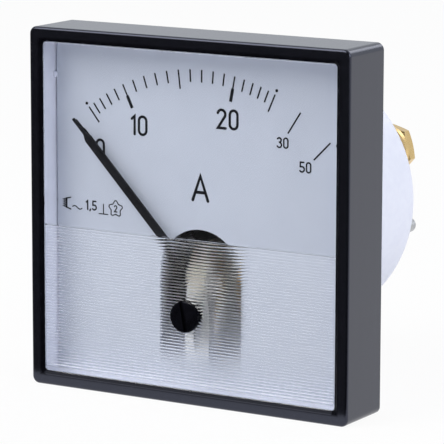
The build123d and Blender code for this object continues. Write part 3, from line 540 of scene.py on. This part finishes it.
def upright_mark(work):
    """Mark of the upright panel: a post on a line."""
    stroke(work, [(UPRIGHT_LEFT, UPRIGHT_FOOT), (UPRIGHT_RIGHT, UPRIGHT_FOOT)], THIN_LINE)
    stroke(work, [(UPRIGHT_X, UPRIGHT_FOOT), (UPRIGHT_X, UPRIGHT_TOP)], THIN_LINE)


def star_mark(work):
    """Star of the test voltage, with blunt tips."""
    star = []
    for tip in range(90, 90 + 360, STAR_TURN):
        star.extend(on_circle(STAR_X, STAR_Z, STAR_TIP, radians(tip + side))
                    for side in STAR_BLUNT)
        star.append(on_circle(STAR_X, STAR_Z, STAR_NOTCH, radians(tip + STAR_TURN / 2)))
    stroke(work, star, THIN_LINE, True)


def mesh_piece(name, shape, material):
    """Turns the shape into a piece of that name and material."""
    mesh = bpy.data.meshes.new(name)
    shape.to_mesh(mesh)
    shape.free()
    piece = bpy.data.objects.new(name, mesh)
    bpy.context.collection.objects.link(piece)
    mesh.materials.append(materials[material])
    return piece


def ink_piece(name, work):
    """One mesh of thin ink on the dial from flat faces."""
    shape = bmesh.new()
    for face in work:
        corners = [shape.verts.new((x * MM, DIAL_Y * MM, z * MM)) for x, z in face]
        shape.faces.new(corners)
    solid = bmesh.ops.extrude_face_region(shape, geom=shape.faces[:])
    moved = [v for v in solid["geom"] if isinstance(v, bmesh.types.BMVert)]
    bmesh.ops.translate(shape, verts=moved, vec=(0, -INK_DEPTH * MM, 0))
    bmesh.ops.recalc_face_normals(shape, faces=shape.faces[:])
    piece = mesh_piece(name, shape, "dial_ink")
    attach(piece, "case")


numbers = []
for label in NUMBERS:
    lettering(numbers, *label)
ink_piece("dial_numbers", numbers)

symbols = []
iron_mark(symbols)
wave_mark(symbols)
lettering(symbols, *ACCURACY)
upright_mark(symbols)
star_mark(symbols)
lettering(symbols, *TEST_VOLTAGE)
ink_piece("dial_symbols", symbols)


# Window and lever

GLASS_Y = -12.85
STEP_Y = -12.0
REAR_Y = -11.3
FLANGE_CORNER = 0.8
PLATE_HALF = 33.1
PLATE_CORNER = 0.7
EDGE_ROUND = 0.2
EDGE_FIRST = 0.06
CORNER_STEPS = 6
RIB_HALF = 32.75
RIB_TOP = -3.55
RIB_PITCH = 0.585
RIB_COUNT = 49
RIB_DEPTH = 0.17
RIB_STEPS = 16
GROOVE_WIDTH = 0.26
GROOVE_DEPTH = 0.55
HOLE_Z = -18.5
HOLE_RADIUS = 2.1
HOLE_SIDES = 48
DRILL_LENGTH = 8.0
SHARP_ANGLE = 25
FORK_HALF = 0.7
BOW_RISE = 2.4
BOW_STEPS = 12
LEVER_SHEET = 0.6
LEVER_BODY = "zero_lever"


def rounded_square(half, corner, y):
    loop = []
    for quarter, (side_x, side_z) in enumerate(((1, 1), (-1, 1), (-1, -1), (1, -1))):
        bend = arc(side_x * (half - corner), side_z * (half - corner), corner,
                   90 * quarter, 90 * quarter + 90, CORNER_STEPS)
        loop.extend((x, y, z) for x, z in bend)
    return loop


def rib_profile():
    """Points (y, z) down the ribbed part, and where they touch the plain front."""
    valley = GLASS_Y + RIB_DEPTH
    groove = GLASS_Y + GROOVE_DEPTH
    groove_top = RIB_TOP + GROOVE_WIDTH
    points = [(GLASS_Y, groove_top), (groove, groove_top), (groove, RIB_TOP), (valley, RIB_TOP)]
    touching = [0]
    half = RIB_PITCH / 2
    radius = (half * half + RIB_DEPTH * RIB_DEPTH) / (2 * RIB_DEPTH)
    for rib in range(RIB_COUNT):
        middle = RIB_TOP - (rib + 0.5) * RIB_PITCH
        for k in range(1, RIB_STEPS + 1):
            drop = -half + RIB_PITCH * k / RIB_STEPS
            if 2 * k == RIB_STEPS:
                touching.append(len(points))
            points.append((GLASS_Y + radius - (radius * radius - drop * drop) ** 0.5,
                           middle - drop))
    touching.append(len(points))
    points.append((GLASS_Y, RIB_TOP - RIB_COUNT * RIB_PITCH))
    return points, touching


def wall(shape, near, far):
    """Closes the space between two rings of corners."""
    for k in range(len(near)):
        n = (k + 1) % len(near)
        shape.faces.new((near[k], near[n], far[n], far[k]))


def lever_bow():
    """Closes the lower end of the lever's fork into a loop, in the lever's own plane."""
    low_corner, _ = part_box("zero_lever")
    end = low_corner.z / MM
    outline = [(-FORK_HALF, end), (FORK_HALF, end)]
    outline += arc(0, end + BOW_RISE, FORK_HALF, 0, -180, BOW_STEPS)
    shape = bmesh.new()
    near, far = ([shape.verts.new((x * MM, y, z * MM)) for x, z in outline]
                 for y in (low_corner.y, low_corner.y + LEVER_SHEET * MM))
    shape.faces.new(near)
    shape.faces.new(far)
    wall(shape, near, far)
    bmesh.ops.recalc_face_normals(shape, faces=shape.faces[:])
    bow = mesh_piece("lever_bow", shape, "bright_steel")
    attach(bow, LEVER_BODY)


def window_shape(flange_half):
    """Stepped plate with a rounded front edge and the ribs over its lower front."""
    shape = bmesh.new()
    outlines = [rounded_square(flange_half, FLANGE_CORNER, REAR_Y),
                rounded_square(flange_half, FLANGE_CORNER, STEP_Y),
                rounded_square(PLATE_HALF, PLATE_CORNER, STEP_Y),
                rounded_square(PLATE_HALF, PLATE_CORNER, GLASS_Y + EDGE_ROUND),
                rounded_square(PLATE_HALF - EDGE_FIRST, PLATE_CORNER - EDGE_FIRST,
                               GLASS_Y + EDGE_FIRST),
                rounded_square(PLATE_HALF - EDGE_ROUND, PLATE_CORNER - EDGE_ROUND, GLASS_Y)]
    rings = [[shape.verts.new([value * MM for value in corner]) for corner in outline]
             for outline in outlines]
    for near, far in zip(rings, rings[1:]):
        wall(shape, near, far)
    shape.faces.new(rings[0])
    points, touching = rib_profile()
    right, left = ([shape.verts.new((x * MM, y * MM, z * MM)) for y, z in points]
                   for x in (RIB_HALF, -RIB_HALF))
    for k in range(len(points) - 1):
        shape.faces.new((left[k], left[k + 1], right[k + 1], right[k]))
    for side in (left, right):
        for start, stop in zip(touching, touching[1:]):
            shape.faces.new(side[start:stop + 1])
    front = rings[-1]
    bend = len(front) // 4
    middles = [bend * quarter + bend // 2 for quarter in range(4)]
    shape.faces.new(front[middles[0]:middles[1] + 1] + [left[0], right[0]])
    shape.faces.new(front[middles[1]:middles[2] + 1] + [left[k] for k in reversed(touching)])
    shape.faces.new(front[middles[2]:middles[3] + 1] + [right[-1], left[-1]])
    shape.faces.new(front[middles[3]:] + front[:middles[0] + 1] + [right[k] for k in touching])
    bmesh.ops.recalc_face_normals(shape, faces=shape.faces[:])
    return shape


def ribbed_window():
    """Clear window with fine smooth ribs and the adjuster's hole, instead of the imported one."""
    _, high_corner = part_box("window")
    window = mesh_piece("window_ribbed", window_shape(high_corner.x / MM), "clear_plastic")
    bpy.ops.mesh.primitive_cylinder_add(vertices=HOLE_SIDES, radius=HOLE_RADIUS * MM,
                                        depth=DRILL_LENGTH * MM,
                                        location=(0, STEP_Y * MM, HOLE_Z * MM),
                                        rotation=(pi / 2, 0, 0))
    drill = bpy.context.object
    cut = window.modifiers.new("hole", "BOOLEAN")
    cut.operation = "DIFFERENCE"
    cut.solver = "EXACT"
    cut.object = drill
    bpy.context.view_layer.update()
    changed = window.evaluated_get(bpy.context.evaluated_depsgraph_get())
    drilled = bpy.data.meshes.new_from_object(changed)
    window.modifiers.clear()
    window.data = drilled
    bpy.data.objects.remove(drill)
    drilled.materials.clear()
    drilled.materials.append(materials["clear_plastic"])
    # Sharp edges come first, because marking them makes every face smooth
    drilled.set_sharp_from_angle(angle=radians(SHARP_ANGLE))
    for face in drilled.polygons:
        ribbed = RIB_TOP - RIB_COUNT * RIB_PITCH < face.center.z / MM < RIB_TOP
        curved = face.center.y / MM < GLASS_Y + RIB_DEPTH and abs(face.normal.x) < 0.5
        face.use_smooth = ribbed and curved
    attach(window, "case")
    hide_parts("window")


ribbed_window()
lever_bow()
